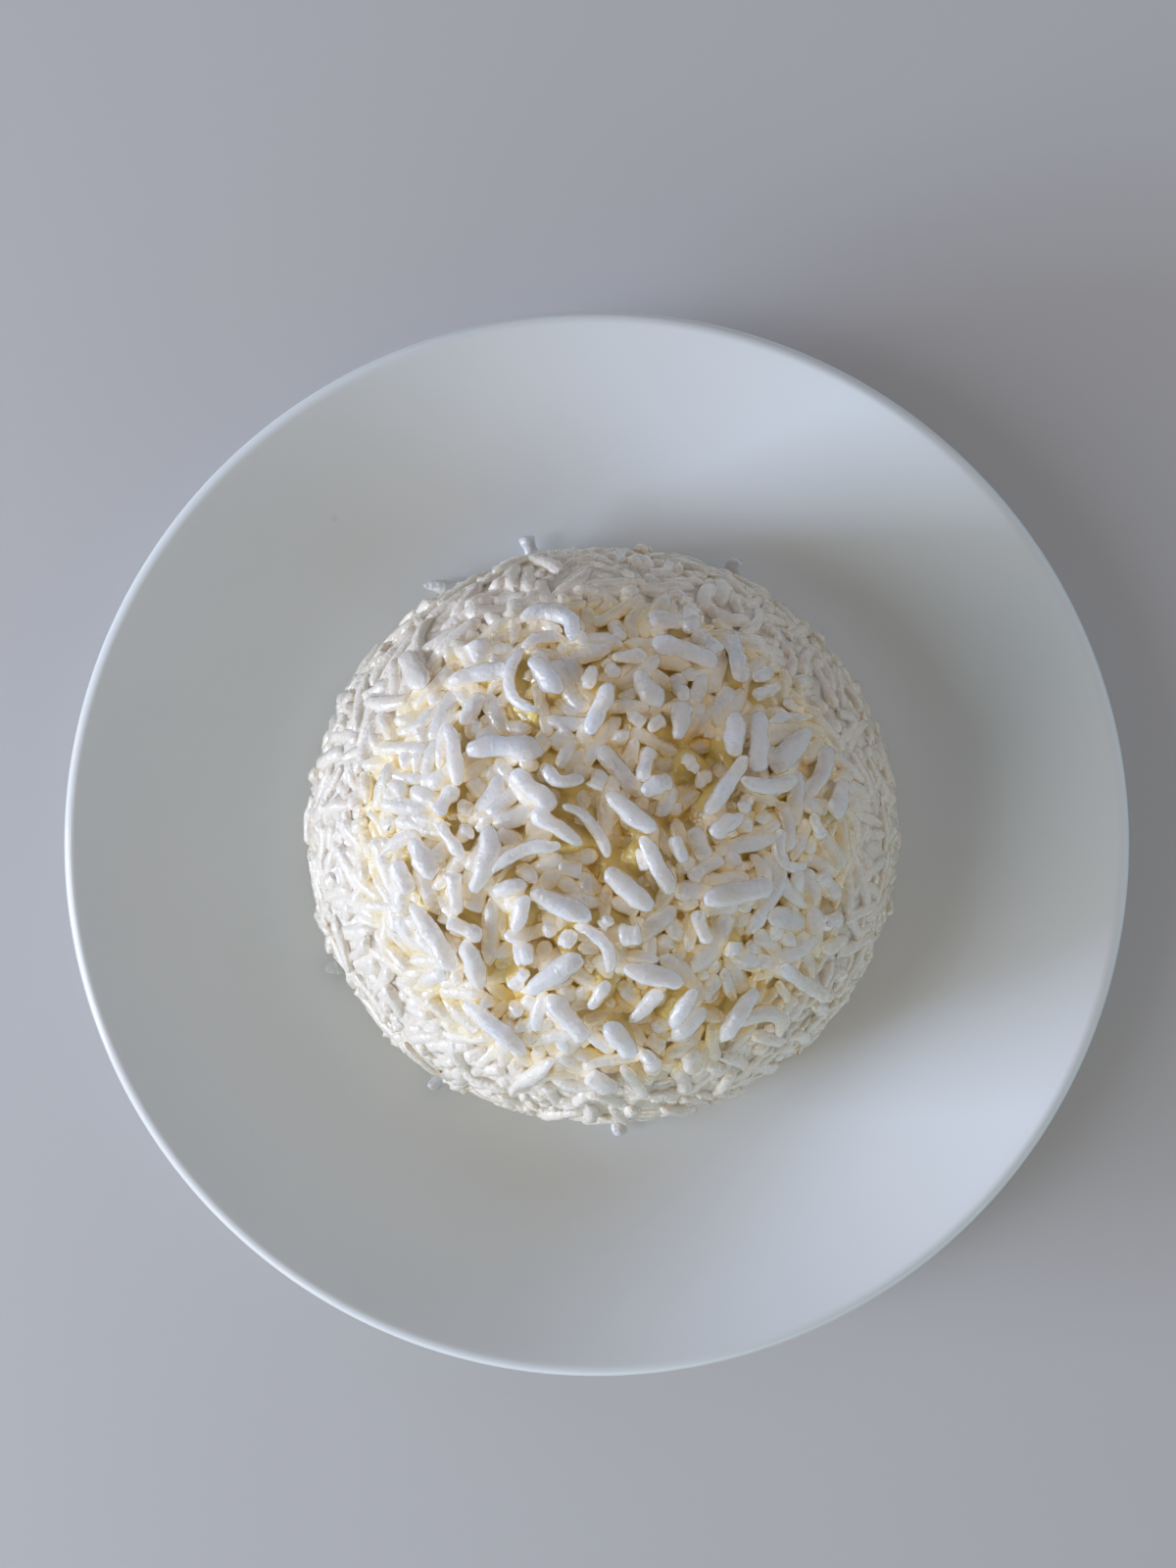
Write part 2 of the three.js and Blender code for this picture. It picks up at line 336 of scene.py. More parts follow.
bed = {
    "spread": 1.25,  # mm around a point that shape the bed there,
    "reach": 3.75,  # and no farther than this
    "rise": 2.0,  # the smaller, the closer the bed follows the highest grains
    "floor": -4.6,  # where there is no grain
    "floorWeight": 0.003,
    "liftTop": -0.45,  # added to its height, on the top and at the sides
    "liftSide": 0.75,
    "liftFoot": 0.4,  # and low down, where the grains show more again
    "usualTop": -2.0,  # its painted shade, cream to amber, follows how far it lies below these
    "usualSide": -0.3,
    "leastGap": 1.4,  # the top's gaps never get less painted shade than at this depth,
    "leastFoot": 0.4,  # nor the grains' feet there than at this one,
    "leastDrop": 3.0,  # but at the sides that least painted shade drops by this
    "mostTop": 3.0,  # no place has deeper painted shade than this,
    "mostSide": 0.0,  # nor the sides than this one,
    "mostFoot": 0.25,  # nor low down than this one
    "flatten": 0.65,  # share of what reaches out of the bowl's face that it pressed flat
    "pressed": 0.1,  # mm that the sides lie inside that face
    "sideRelief": 0.75,  # share of the relief that they keep
    "seed": 8,
    "waves": 40,
    "waveHeight": 0.5,
    "waveLengths": (2.2, 8.0),
    "gritHeight": 0.05,  # its fine bumps
    "gritLengths": (0.9, 2.4),
    "mesh": (150, 440),  # steps up and round
}

grains = {
    "seed": 5,
    "layers": (1.3, 3.4),  # depth of each layer's middle
    "perLayer": (760, 1150),
    "layerTurn": 2.1,  # radians from one layer's first grain to the next one's
    "innerFrom": 14.0,  # the inner layer starts this high, as only the top shows it
    "jitter": 0.6,  # mm off an even spacing
    "length": 10.4,
    "lengthSpread": 1.3,
    "lengths": (7.5, 12.8),
    "brokenShare": 0.16,
    "brokenLengths": (2.2, 6.6),
    "width": 3.2,
    "widthShares": (0.08, 0.8, 1.2),  # spread, least and most, against that width
    "thickness": 2.7,
    "thicknessShares": (0.07, 0.82, 1.16),
    "bow": 0.45,  # radians that a grain usually bends
    "bentShare": 0.16,  # these bend more
    "bentBy": (0.8, 2.1),
    "brokenBow": 0.4,  # a broken one's bend against a whole one's
    "wave": 0.2,
    "leanSide": 0.08,  # radians out of the bowl's face: at the sides, more on the top, and inside
    "leanTop": 0.17,
    "leanInside": 0.4,
    "opaque": (0.0, 0.8),
    "stickShare": 0.2,  # these were pressed less flat at the sides, and stick out by so much
    "stickOut": (0.2, 0.9),
    "stickIn": (-0.3, 0.1),  # and the others by this
    # packing: each grain is a row of spheres while they are pushed apart
    "beads": 5,
    "beadSize": 0.97,
    "beadInset": 0.8,  # of a bead's radius, from the grain's tip to its last bead's middle
    "leastRow": 0.2,  # of the grain's length
    "rounds": 120,
    "softness": 0.84,  # neighbours may press this far into each other
    "neighbourRounds": 5,  # neighbours are looked for again after so many rounds,
    "neighbourReach": 0.6,  # this many mm farther than they can touch
    "seenHold": 0.4,  # over an even half, a loose grain's share of the push between it and a seen one
    "seenOver": 1.5,  # mm that it may stand out of the bowl's face
    "besideSeen": 0.5,  # mm that the other grains on the top lie below the seen ones
    "pressedFlat": 0.2,  # share of its radius that a bead may reach out of the face at the sides
    "stride": 1.2,  # against the mean push
    "spinEase": 0.5,
    "mostSpin": 0.3,  # radians in one round, before the stride
    "press": 0.05,  # mm outwards in each round, against the bowl,
    "calmRounds": 20,  # but not in the last ones
    # surface
    "looseMesh": (8, 7),  # rings and sides
    "seenMesh": (15, 12),
    "ringInset": 0.42,  # from a tip to the first ring, against the step between rings
    "ends": (2.2, 6.0),  # power of an end's outline: 2 is an oval, and more is blunter
    "cutEnd": 14.0,
    "cutBroken": 0.65,  # share of the broken grains' ends that are cut, and of the whole ones'
    "cutWhole": 0.1,
    "swellings": ((0.08, 2, 5), (0.05, 6, 10)),  # along it: height, least and highest rate
    "ridges": ((0.06, 2, 1, 2), (0.05, 3, -1, 3), (0.03, 4, 2, 7)),  # height, count, phase and twist
    "splitShare": 0.22,
    "splitDepth": (0.15, 0.4),
    "splitPlace": (0.6, 2.6),  # radians round the grain
    "splitWidth": 0.3,
    "splitTwist": 0.3,
    "tipShift": 0.12,  # of its width
    "lumps": 30,
    "lumpHeight": 0.11,
    "lumpLengths": (1.3, 4.0),
    "leastShown": 0.1,  # mm out of the bed, below which a grain is left out,
    "leastSide": 0.4,  # with this much more at the sides,
    "leastFoot": 0.2,  # and this much less low down
    "fadeSide": 0.8,  # at the sides what stands out counts so much less, so it keeps the bed's colour, painted shade included,
    "fadeFoot": 0.5,  # and low down it counts this much more again
    "fallenProud": 2.6,  # what it counts on a fallen grain
}

# Grains that stand out in the photograph: ends, with the middle of a bent one between them, and width,
# all in its pixels. High ones lie on the others, low ones are half hidden.
seenGrains = {
    "high": (
        ((536, 666), (521, 700), (552, 723), 13), ((542, 675), (573, 707), 23),
        ((533, 635), (561, 624), (579, 656), 19), ((661, 634), (695, 636), 19),
        ((704, 622), (704, 647), 22), ((741, 652), (759, 697), 19), ((774, 728), (772, 787), 22),
        ((721, 829), (761, 774), 18), ((756, 795), (783, 803), (810, 792), 17),
        ((826, 831), (836, 854), 14), ((695, 774), (712, 785), 13), ((654, 807), (685, 797), 20),
        ((619, 811), (667, 846), 20), ((654, 854), (686, 910), 18), ((545, 828), (593, 861), 17),
        ((525, 787), (565, 825), 23), ((459, 741), (469, 800), 17), ((603, 749), (621, 699), 19),
        ((598, 703), (606, 682), 14), ((685, 1046), (708, 1008), 18), ((735, 1059), (769, 1009), 19),
        ((800, 988), (844, 1019), 18), ((624, 1042), (643, 1076), 22), ((422, 922), (465, 987), 21),
        ((459, 940), (492, 954), 17), ((543, 911), (602, 936), 24), ((526, 950), (537, 913), 17),
        ((526, 973), (545, 971), 22), ((524, 1007), (537, 989), 14), ((539, 1011), (592, 975), 22),
        ((586, 946), (613, 958), (618, 991), 15), ((740, 967), (752, 967), 16),
        ((858, 797), (852, 835), 20), ((604, 1095), (625, 1112), 24), ((613, 945), (624, 936), 14),
    ),
    "level": (
        ((533, 660), (555, 649), (583, 658), 13), ((668, 652), (731, 675), 22),
        ((710, 644), (733, 667), 22), ((769, 695), (797, 675), 15), ((770, 711), (797, 700), 15),
        ((800, 713), (812, 723), 13), ((786, 736), (830, 728), 12), ((790, 779), (828, 749), 24),
        ((756, 828), (768, 810), 15), ((665, 764), (654, 797), 15), ((651, 866), (658, 888), 12),
        ((689, 853), (697, 880), 15), ((575, 823), (602, 840), (619, 874), 14),
        ((478, 768), (515, 760), (552, 768), 24), ((561, 779), (573, 796), (593, 790), 17),
        ((462, 802), (445, 830), 18), ((445, 835), (471, 876), 15), ((471, 739), (490, 708), 19),
        ((485, 657), (496, 675), 25), ((458, 693), (515, 682), 19), ((606, 805), (616, 787), 18),
        ((616, 672), (629, 690), 14), ((626, 670), (658, 668), 15),
        ((654, 685), (662, 704), (677, 713), 22), ((641, 726), (657, 739), 15),
        ((662, 744), (677, 733), 15), ((496, 844), (496, 881), (480, 907), 20),
        ((505, 888), (536, 867), (570, 865), 15), ((728, 853), (757, 831), 18),
        ((639, 988), (696, 1004), 20), ((643, 1046), (675, 1011), 17), ((689, 1061), (719, 1030), 20),
        ((796, 1004), (804, 1021), 10), ((756, 1050), (781, 1036), (792, 1057), 18),
        ((721, 919), (786, 904), 24), ((631, 954), (654, 954), 24), ((712, 931), (721, 962), 16),
        ((620, 889), (664, 927), 24), ((840, 965), (867, 962), 15), ((474, 960), (490, 1009), 20),
        ((463, 891), (465, 932), 16), ((402, 881), (418, 911), 19), ((420, 856), (441, 897), 22),
        ((504, 907), (537, 905), 20), ((561, 1018), (596, 1060), 22), ((602, 1030), (620, 1003), 13),
        ((475, 1024), (535, 1075), 18), ((565, 1064), (588, 1097), (580, 1130), 18),
        ((522, 1115), (561, 1085), 17), ((842, 764), (840, 790), (822, 806), 20),
        ((750, 725), (750, 770), 20), ((640, 1091), (654, 1119), 16), ((662, 1073), (668, 1098), 18),
        ((700, 1077), (714, 1090), 22), ((412, 668), (432, 700), 26), ((572, 955), (588, 962), 20),
        ((837, 893), (855, 914), 20), ((840, 945), (862, 935), 18),
    ),
    "low": (
        ((583, 608), (596, 657), 15), ((708, 846), (723, 876), 20), ((629, 723), (629, 802), 20),
        ((695, 682), (698, 713), 19), ((752, 856), (798, 841), 15), ((775, 864), (797, 865), 14),
        ((754, 885), (771, 885), 12), ((721, 1007), (742, 1007), 20), ((754, 988), (781, 988), 14),
        ((723, 988), (750, 990), 18), ((723, 940), (771, 939), 24), ((785, 935), (846, 954), 30),
        ((800, 954), (821, 981), 22), ((514, 958), (563, 950), 17), ((733, 715), (726, 756), 18),
        ((700, 715), (693, 750), 20), ((563, 762), (580, 742), 22), ((627, 622), (635, 650), 20),
        ((583, 668), (622, 655), 20), ((712, 795), (728, 790), 17), ((670, 822), (698, 826), 15),
        ((464, 820), (480, 828), 16), ((485, 818), (538, 838), 20), ((505, 850), (535, 862), 18),
        ((462, 858), (478, 845), 18), ((478, 930), (492, 905), 20),
        ((510, 905), (545, 888), (572, 872), 18), ((665, 975), (690, 960), 20),
        ((796, 880), (822, 890), 16), ((762, 1085), (775, 1062), 18),
    ),
}
seenShape = {
    "lift": {"high": 0.55, "level": -0.25, "low": -1.5},  # mm of their middles over the others'
    "longer": 1.05,  # than between the ends that were read
    "thickness": (0.8, 0.98),  # in shares of the width
    "thickest": 3.1,
    "bow": 0.12,  # of those that look straight
    "wave": 0.1,
    "broken": 6.5,  # below this length
    "opaque": (0.7, 0.3, 0.2),  # on the usual height, more for each mm of lift, and spread
    "opaqueRange": (0.1, 1.0),
}

# Grains that fell beside the dome: bearing, distance from its axis, heading and pitch in degrees, and share
# of a whole grain's length.
fallenGrains = (
    (104, 57.2, 100, 28, 0.75),
    (122, 57.0, 160, 8, 0.95),
    (238, 57.2, 215, 10, 0.85),
    (274, 57.0, 250, 14, 0.8),
    (208, 56.8, 190, 12, 0.8),
    (64, 56.6, 70, 34, 0.8),
)
fallenShape = {
    "bow": 0.4,
    "wave": 0.1,
    "broken": 8.0,
    "tipped": 0.8,  # share of half its length, as its round end reaches the plate first
}


def unit(v):
    return v / np.linalg.norm(v, axis=-1, keepdims=True)


def onPlate(points):
    # From the round dome's own places to those on the plate: (x, narrow y, z) + middle.
    return points * (1, dome["narrow"], 1) + (*dome["middle"], dome["floor"])


def mouldDistance(points):
    # Distance outside the bowl's inner face, (k - 1) / |grad k|, where k = ((r/R)^n + (z/H)^n)^(1/n),
    # and the face's outward direction, grad k / |grad k|.
    n, wide, tall = dome["fullness"], dome["radius"], dome["height"]
    flat = np.hypot(points[:, 0], points[:, 1]) + 1e-9
    a, b = flat / wide, np.maximum(points[:, 2], 0.01) / tall
    k = (a**n + b**n) ** (1 / n)
    slopeOut, slopeUp = (a / k) ** (n - 1) / wide, (b / k) ** (n - 1) / tall
    steep = np.hypot(slopeOut, slopeUp)
    out = slopeOut / steep / flat
    return (k - 1) / steep, np.stack((points[:, 0] * out, points[:, 1] * out, slopeUp / steep), 1)


def ramp(value, start, span):
    # Even rise from 0 at start to 1 at start + span, level before and after: (value - start) / span.
    return np.clip((value - start) / span, 0, 1)


def sideShare(normal):
    # 0 on the top, which came away from the bowl, and 1 on the sides, which it pressed: a ramp over the
    # upward part of the face's direction.
    return ramp(normal[:, 2], *dome["side"])


def footShare(normal):
    # The same, but 1 only where the sides are steep, near the plate.
    return ramp(normal[:, 2], *dome["foot"])


def topDrop(points):
    # How far the rice stays below the bowl there: the sum of the dents, depth exp(-d^2 / 2 spread^2), and
    # of crossing sine waves, height (1 + sin(a.P) sin(b.P)), fading out down the sides.
    x, y, z = points.T
    first, second = (np.sin(right * x + up * y + phase) for right, up, phase in dome["waveRates"])
    drop = dome["waves"] * (1 + first * second)
    for right, up, deep, spread in dome["dents"]:
        drop = drop + deep * np.exp(-((x - right) ** 2 + (y - up) ** 2) / (2 * spread**2))
    return drop * ramp(z, *dome["dented"])


def domeSpiral(count, depth, start):
    # Points at one depth, even in area: a golden-angle spiral whose climb follows the surface's area.
    steps = 400
    climb = np.linspace(0, math.pi / 2, steps)
    power = 2 / dome["fullness"]
    wide = (dome["radius"] - depth) * np.cos(climb) ** power
    tall = (dome["height"] - depth) * np.sin(climb) ** power
    wide[-1] = 0
    strip = np.hypot(np.diff(wide), np.diff(tall)) * (wide[1:] + wide[:-1])
    area = np.concatenate(([0], np.cumsum(strip)))
    share = (np.arange(count) + 0.5) / count * area[-1]
    r, z = np.interp(share, area, wide), np.interp(share, area, tall)
    turn = start + np.arange(count) * math.pi * (3 - math.sqrt(5))
    return np.stack((r * np.cos(turn), r * np.sin(turn), z), 1)


def sightToDome(pixels, depth):
    # Where the line of sight through a pixel meets the dome at that depth: its height is guessed, gives the
    # place, and is drawn towards the dome's height there, over and over. Also the size of a pixel there.
    focal = shot["lens"] / shot["sensor"] * shot["tall"]
    right = pixels[:, 0] - shot["wide"] / 2
    up = shot["tall"] / 2 - pixels[:, 1]
    wide, tall, n = dome["radius"] - depth, dome["height"] - depth, dome["fullness"]
    firstGuess, rounds, steepest = 30.0, 30, 0.02
    z = np.full(len(pixels), firstGuess)
    for _ in range(rounds):
        scale = (shot["place"][2] - dome["floor"] - z) / focal
        x = shot["place"][0] - dome["middle"][0] + right * scale
        y = (shot["place"][1] - dome["middle"][1] + up * scale) / dome["narrow"]
        goal = tall * np.maximum(1 - (np.hypot(x, y) / wide) ** n, steepest) ** (1 / n)
        z = 0.5 * (z + goal)
    return np.stack((x, y, z), 1), scale


def nearPairs(points, others, reach):
    # Which of the points lie nearer than reach to which of the others: the others are sorted into cubes of
    # that size, and each point looks through the cubes around its own, three in a row at a time.
    low = np.minimum(points.min(0), others.min(0))
    here = np.floor((points - low) / reach).astype(np.int64) + 1
    there = np.floor((others - low) / reach).astype(np.int64) + 1
    row = max(here[:, 0].max(), there[:, 0].max()) + 2
    sheet = row * (max(here[:, 1].max(), there[:, 1].max()) + 2)
    stride = np.array((1, row, sheet))
    key, home = here @ stride, there @ stride
    order = np.argsort(home, kind="stable")
    lined = home[order]
    first, second = [], []
    for step in (a + b for a in (-sheet, 0, sheet) for b in (-row, 0, row)):
        start = np.searchsorted(lined, key + step - 1, "left")
        count = np.searchsorted(lined, key + step + 1, "right") - start
        first.append(np.repeat(np.arange(len(points)), count))
        skipped = np.repeat(start - np.cumsum(count) + count, count)
        second.append(order[np.arange(count.sum()) + skipped])
    first, second = np.concatenate(first), np.concatenate(second)
    near = ((points[first] - others[second]) ** 2).sum(1) < reach**2
    return first[near], second[near]


def turnBy(spin):
    # Rotation matrices of small turn vectors, by Rodrigues: 1 + sin(a) K + (1 - cos(a)) K K.
    angle = np.linalg.norm(spin, axis=1) + 1e-12
    x, y, z = (spin / angle[:, None]).T
    zero = np.zeros_like(x)
    k = np.stack((zero, -z, y, z, zero, -x, -y, x, zero), 1).reshape(-1, 3, 3)
    s, c = np.sin(angle)[:, None, None], (1 - np.cos(angle))[:, None, None]
    return np.eye(3) + s * k + c * (k @ k)


def bowedLine(length, bow, wave, t):
    # Middle line of a grain of that length, t from -1 to 1 along it: an arc that turns by bow radians in
    # all, with a sideways wave, as (sin(ks)/k, (cos(ks) - 1)/k + wave sin(3t), 0.6 wave (cos(2t) - 0.45)),
    # and with its mean point in the middle.
    s = t * length[:, None] / 2
    k = (bow / length)[:, None]
    x = s * np.sinc(k * s / math.pi)
    y = -0.5 * k * s**2 * np.sinc(k * s / 2 / math.pi) ** 2
    y = y + (bow * length / 24)[:, None] + wave[:, None] * np.sin(3 * t)
    z = 0.6 * wave[:, None] * (np.cos(2 * t) - 0.45)
    return np.stack((x, y, z), -1)


def varied(rng, n, spread, least, most):
    # Shares around 1.
    return rng.normal(1, spread, n).clip(least, most)


def scatterGrains(rng):
    # The loose grains' first places and sizes, layer by layer: spread evenly over each layer, and moved and
    # turned by chance.
    g = grains
    layer = np.repeat(np.arange(len(g["layers"])), g["perLayer"])
    centre = np.concatenate([
        domeSpiral(count, depth, g["layerTurn"] * i)
        for i, (count, depth) in enumerate(zip(g["perLayer"], g["layers"]))
    ])
    shows = (layer == 0) | (centre[:, 2] > g["innerFrom"])
    centre, layer = centre[shows], layer[shows]
    n = len(centre)
    centre += rng.normal(0, g["jitter"], (n, 3))
    broken = rng.random(n) < g["brokenShare"]
    length = np.clip(rng.normal(g["length"], g["lengthSpread"], n), *g["lengths"])
    length = np.where(broken, rng.uniform(*g["brokenLengths"], n), length)
    width = g["width"] * varied(rng, n, *g["widthShares"])
    thick = g["thickness"] * varied(rng, n, *g["thicknessShares"])
    bow = rng.normal(0, g["bow"], n)
    bow = bow + np.where(rng.random(n) < g["bentShare"], rng.uniform(*g["bentBy"], n), 0)
    bow = np.where(broken, bow * g["brokenBow"], bow)
    # a grain lies along the face of the bowl, less so towards the top and inside
    _, normal = mouldDistance(centre)
    tilt = np.where(layer == 0, g["leanSide"] + g["leanTop"] * normal[:, 2] ** 2, g["leanInside"])
    lean = rng.normal(0, 1, n) * tilt
    heading = rng.uniform(0, 2 * math.pi, n)
    side = unit(np.cross((0.0, 0.0, 1.0), normal) + (1e-6, 0, 0))
    flat = side * np.cos(heading)[:, None] + np.cross(normal, side) * np.sin(heading)[:, None]
    along = flat * np.cos(lean)[:, None] + normal * np.sin(lean)[:, None]
    across = unit(np.cross(normal, along))
    turn = np.stack((along, across, np.cross(along, across)), 2)
    wave, opaque = rng.normal(0, g["wave"], n), rng.uniform(*g["opaque"], n)
    sticks = rng.random(n) < g["stickShare"]
    return dict(
        centre=centre, turn=turn, length=length, width=width, thick=thick, bow=bow, wave=wave,
        broken=broken, layer=layer, held=np.zeros(n, bool), fallen=np.zeros(n, bool), opaque=opaque,
        stick=np.where(sticks, rng.uniform(*g["stickOut"], n), rng.uniform(*g["stickIn"], n)),
    )


def placeSeenGrains(rng):
    # Grains laid where the photograph shows them. The arc through both ends and the middle, with chord c
    # and height g, turns by b = 4 atan(2g/c), is c (b/2) / sin(b/2) long, and has its mean point 2g/3 above
    # the chord.
    s = seenShape
    rows = [row for group in seenGrains.values() for row in group]
    lift = np.concatenate([np.full(len(group), s["lift"][name]) for name, group in seenGrains.items()])
    start = np.array([row[0] for row in rows], float)
    end = np.array([row[-2] for row in rows], float)
    middle = np.array([np.mean(row[:-1], 0) if len(row) == 3 else row[1] for row in rows], float)
    depth = grains["layers"][0]
    a, _ = sightToDome(start, depth)
    b, _ = sightToDome(end, depth)
    m, scale = sightToDome(middle, depth)
    straight = np.array([len(row) == 3 for row in rows])
    half = (a + b) / 2
    _, normal = mouldDistance(m)
    chord = np.linalg.norm(b - a, axis=1)
    along = (b - a) / chord[:, None]
    rise = m - half
    rise = rise - along * (rise * along).sum(1)[:, None]
    rise = rise - normal * (rise * normal).sum(1)[:, None]
    sag = np.where(straight, 0, np.linalg.norm(rise, axis=1))
    across = np.where(straight[:, None], np.cross(normal, along), rise)
    across = unit(across - along * (across * along).sum(1)[:, None])
    bow = 4 * np.arctan(2 * sag / chord)
    up = np.cross(along, across)
    facing = np.sign((up * normal).sum(1))
    turn = np.stack((along, across * facing[:, None], up * facing[:, None]), 2)
    faint = 0.01  # radians, below which the arc is as long as its chord
    overChord = np.where(bow > faint, (bow / 2) / np.sin(np.maximum(bow, faint) / 2), 1)
    length = chord * overChord * s["longer"]
    opaque, perLift, spread = s["opaque"]
    n = len(rows)
    width = np.array([row[-1] for row in rows]) * scale
    centre = np.where(straight[:, None], m, half + rise * 2 / 3) + normal * lift[:, None]
    return dict(
        centre=centre, turn=turn, length=length, width=width,
        thick=np.minimum(width * rng.uniform(*s["thickness"], n), s["thickest"]),
        bow=np.where(straight, rng.normal(0, s["bow"], n), bow * facing), wave=rng.normal(0, s["wave"], n),
        broken=length < s["broken"], layer=np.zeros(n, int), held=np.ones(n, bool),
        opaque=np.clip(opaque + perLift * lift + rng.normal(0, spread, n), *s["opaqueRange"]),
        fallen=np.zeros(n, bool), stick=np.zeros(n),
    )


def placeFallenGrains(rng):
    # Loose grains at the foot, each resting on the plate: middle = distance (cos b, sin b), raised by half
    # its thickness and by most of half its length times the sine of its pitch.
    s = fallenShape
    bearing, distance, heading, pitch, share = np.array(fallenGrains, float).T
    b, h, p = np.radians(bearing), np.radians(heading), np.radians(pitch)
    length = grains["length"] * share
    n = len(length)
    zero = np.zeros(n)
    along = np.stack((np.cos(h) * np.cos(p), np.sin(h) * np.cos(p), np.sin(p)), 1)
    across = np.stack((-np.sin(h), np.cos(h), zero), 1)
    height = grains["thickness"] / 2 + 0.5 * length * np.sin(p) * s["tipped"]
    return dict(
        centre=np.stack((distance * np.cos(b), distance * np.sin(b), height), 1),
        turn=np.stack((along, across, np.cross(along, across)), 2), length=length,
        width=np.full(n, grains["width"]), thick=np.full(n, grains["thickness"]),
        bow=rng.normal(0, s["bow"], n), wave=rng.normal(0, s["wave"], n), broken=length < s["broken"],
        layer=zero.astype(int), held=np.ones(n, bool), fallen=np.ones(n, bool), opaque=zero + 1,
        stick=zero,
    )


def joined(*sets):
    # Several sets of grains as one.
    return {key: np.concatenate([s[key] for s in sets]) for key in sets[0]}


def beadPlaces(p):
    # Centres and radii of the beads that stand for each grain, evenly along its middle line. A radius is
    # nearly half the root of width times thickness.
    g, beads = grains, grains["beads"]
    radius = np.sqrt(p["width"] * p["thick"]) / 2
    reach = np.clip(1 - 2 * g["beadInset"] * radius / p["length"], g["leastRow"], 1)
    t = np.linspace(-1, 1, beads)[None] * reach[:, None]
    return bowedLine(p["length"], p["bow"], p["wave"], t), np.repeat(radius * g["beadSize"], beads)


def putInPlace(p, own):
    # Points given along each grain, own, turned and moved to where the grain lies: centre + turn own.
    return (p["centre"][:, None] + np.einsum("gij,gkj->gki", p["turn"], own)).reshape(-1, 3)


def packGrains(rng):
    # Beads that overlap push each other apart along the line between them, and the bowl's face, the
    # shell's inner limit and the plate push back. A grain moves by the mean push on its beads, and turns
    # by the mean of arm x push over |arm|^2 + ease.
    loose, seen = scatterGrains(rng), placeSeenGrains(rng)
    # each seen grain takes the place of the loose one nearest to it
    stays = np.ones(len(loose["length"]), bool)
    for place in seen["centre"]:
        away = ((loose["centre"] - place) ** 2).sum(1)
        stays[np.argmin(np.where(stays & (loose["layer"] == 0), away, np.inf))] = False
    loose = {key: values[stays] for key, values in loose.items()}
    p = joined(loose, seen)
    g, held, n, beads = grains, p["held"], len(p["length"]), grains["beads"]
    line, beadRadius = beadPlaces(p)
    owner = np.repeat(np.arange(n), beads)
    heldBead, stick = held[owner], p["stick"][owner]
    reach = 2 * beadRadius.max() + g["neighbourReach"]
    eye = np.array(shot["place"]) - (*dome["middle"], dome["floor"])
    total = n * beads
    for step in range(g["rounds"]):
        points = putInPlace(p, line)
        if step % g["neighbourRounds"] == 0:
            first, second = nearPairs(points, points, reach)
            apiece = (first < second) & (owner[first] != owner[second])
            first, second = first[apiece], second[apiece]
            share = 0.5 + g["seenHold"] * (heldBead[second].astype(float) - heldBead[first])
        gap = points[first] - points[second]
        apart = np.sqrt((gap**2).sum(1)) + 1e-9
        overlap = np.maximum(g["softness"] * (beadRadius[first] + beadRadius[second]) - apart, 0)
        push = gap * (overlap / apart)[:, None]
        gain, loss = push * share[:, None], push * (1 - share)[:, None]
        force = np.stack([
            np.bincount(first, gain[:, k], total) - np.bincount(second, loss[:, k], total) for k in range(3)
        ], 1)
        touches = np.bincount(first, overlap > 0, total) + np.bincount(second, overlap > 0, total)
        out, normal = mouldDistance(points)
        nearTop = ramp(points[:, 2], *dome["top"])
        ceiling = topDrop(points) + g["besideSeen"] * nearTop - stick * (1 - nearTop)
        ceiling = np.where(heldBead, -g["seenOver"], ceiling)
        over = np.maximum(out + beadRadius * (1 - g["pressedFlat"] * (1 - nearTop)) + ceiling, 0)
        under = np.maximum(-out - dome["shell"], 0)
        low = np.maximum(beadRadius - points[:, 2], 0)
        force += normal * (under - over)[:, None]
        force[:, 2] += low
        touches += (over > 0).astype(float) + (under > 0) + (low > 0)
        force = force.reshape(n, beads, 3)
        arm = points.reshape(n, beads, 3) - p["centre"][:, None]
        count = np.maximum(touches.reshape(n, beads).sum(1), 1)
        shift = g["stride"] * force.sum(1) / count[:, None]
        ease = (arm**2).sum(2).mean(1) + g["spinEase"]
        spin = np.cross(arm, force).sum(1) / (count * ease)[:, None]
        limit = np.minimum(1, g["mostSpin"] / (np.linalg.norm(spin, axis=1) + 1e-9))
        spin *= g["stride"] * limit[:, None]
        if step < g["rounds"] - g["calmRounds"]:
            shift += normal.reshape(n, beads, 3)[:, beads // 2] * np.where(held, 0, g["press"])[:, None]
        # a seen grain moves and tips only along the line of sight, so its picture stays
        sight = unit(eye - p["centre"][held])
        shift[held] = sight * (shift[held] * sight).sum(1)[:, None]
        spin[held] -= sight * (spin[held] * sight).sum(1)[:, None]
        p["centre"] = p["centre"] + shift
        p["turn"] = turnBy(spin) @ p["turn"]
    print("packed", n, "grains, mean overlap", round(float(overlap[overlap > 0].mean()), 2), "mm")
    return joined(p, placeFallenGrains(rng))


def bedBeads(p):
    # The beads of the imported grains, each moved out to the bowl's face, and how far inside it each lay.
    points = putInPlace(p, beadPlaces(p)[0])
    out, normal = mouldDistance(points)
    return points - normal * out[:, None], out


